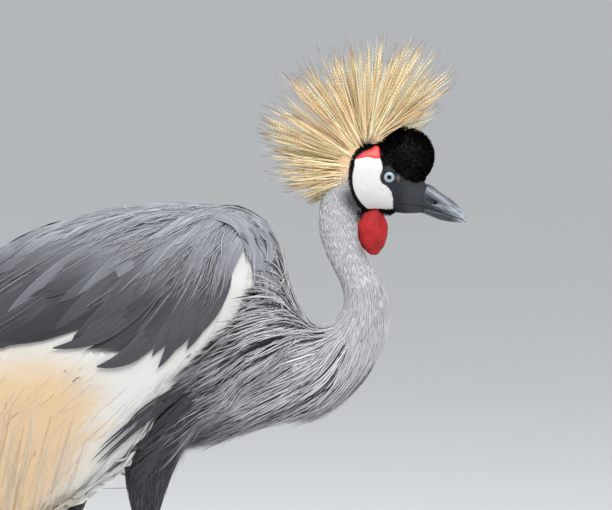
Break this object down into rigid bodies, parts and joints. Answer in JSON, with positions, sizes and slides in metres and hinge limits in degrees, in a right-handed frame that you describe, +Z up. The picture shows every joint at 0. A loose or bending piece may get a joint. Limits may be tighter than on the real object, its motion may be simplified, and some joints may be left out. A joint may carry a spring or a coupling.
{
  "type": "grey crowned crane model",
  "caption": "Life-size still model of a grey crowned crane standing with its neck drawn back, bristle crown raised and wings folded.",
  "frame": {"origin": "on the floor, under the middle of the bird's whole outline", "axes": "+X forward, the way the bill points; +Y to the bird's left; +Z up"},
  "size_m": [0.7364, 0.226, 0.838],
  "materials": {
    "white_feather": "soft matte, close smooth feathers",
    "grey_feather": "matte, long narrow feathers with pale edges",
    "slate_feather": "matte, dark feathers with grey streaks",
    "straw_plume": "soft loose plumes",
    "straw_bristle": "stiff twisted bristles with dark tips",
    "chestnut_feather": "satin, dark red-brown",
    "black_feather": "satin black",
    "black_velvet": "dense velvet plush",
    "red_skin": "soft bare skin, finely pebbled",
    "bill_horn": "satin horn, paler towards the tip",
    "claw_horn": "satin horn",
    "leg_scales": "dry scaled skin",
    "eye": "wet, pale blue-grey iris and a round black pupil"
  },
  "bodies": {
    "root": {"bill_lower": "bill_horn", "bill_upper": "bill_horn", "cap": "black_velvet", "claw_left_hind": "claw_horn", "claw_left_inner": "claw_horn", "claw_left_middle": "claw_horn", "claw_left_outer": "claw_horn", "claw_right_hind": "claw_horn", "claw_right_inner": "claw_horn", "claw_right_middle": "claw_horn", "claw_right_outer": "claw_horn", "crest": "straw_bristle", "eye_left": "eye", "eye_right": "eye", "foot_left": "leg_scales", "foot_right": "leg_scales", "hackles": "grey_feather", "head": "white_feather", "mantle": "grey_feather", "neck_lower": "grey_feather", "neck_middle": "grey_feather", "neck_upper": "grey_feather", "shank_left": "leg_scales", "shank_right": "leg_scales", "tail": "black_feather", "tarsus_left": "leg_scales", "tarsus_right": "leg_scales", "thigh_left": "slate_feather", "thigh_right": "slate_feather", "trunk": "slate_feather", "wattle": "red_skin", "wing_coverts_left": "white_feather", "wing_coverts_right": "white_feather", "wing_gold_plumes_left": "straw_plume", "wing_gold_plumes_right": "straw_plume", "wing_primaries_left": "black_feather", "wing_primaries_right": "black_feather", "wing_secondaries_left": "chestnut_feather", "wing_secondaries_right": "chestnut_feather"}
  },
  "joints": []
}
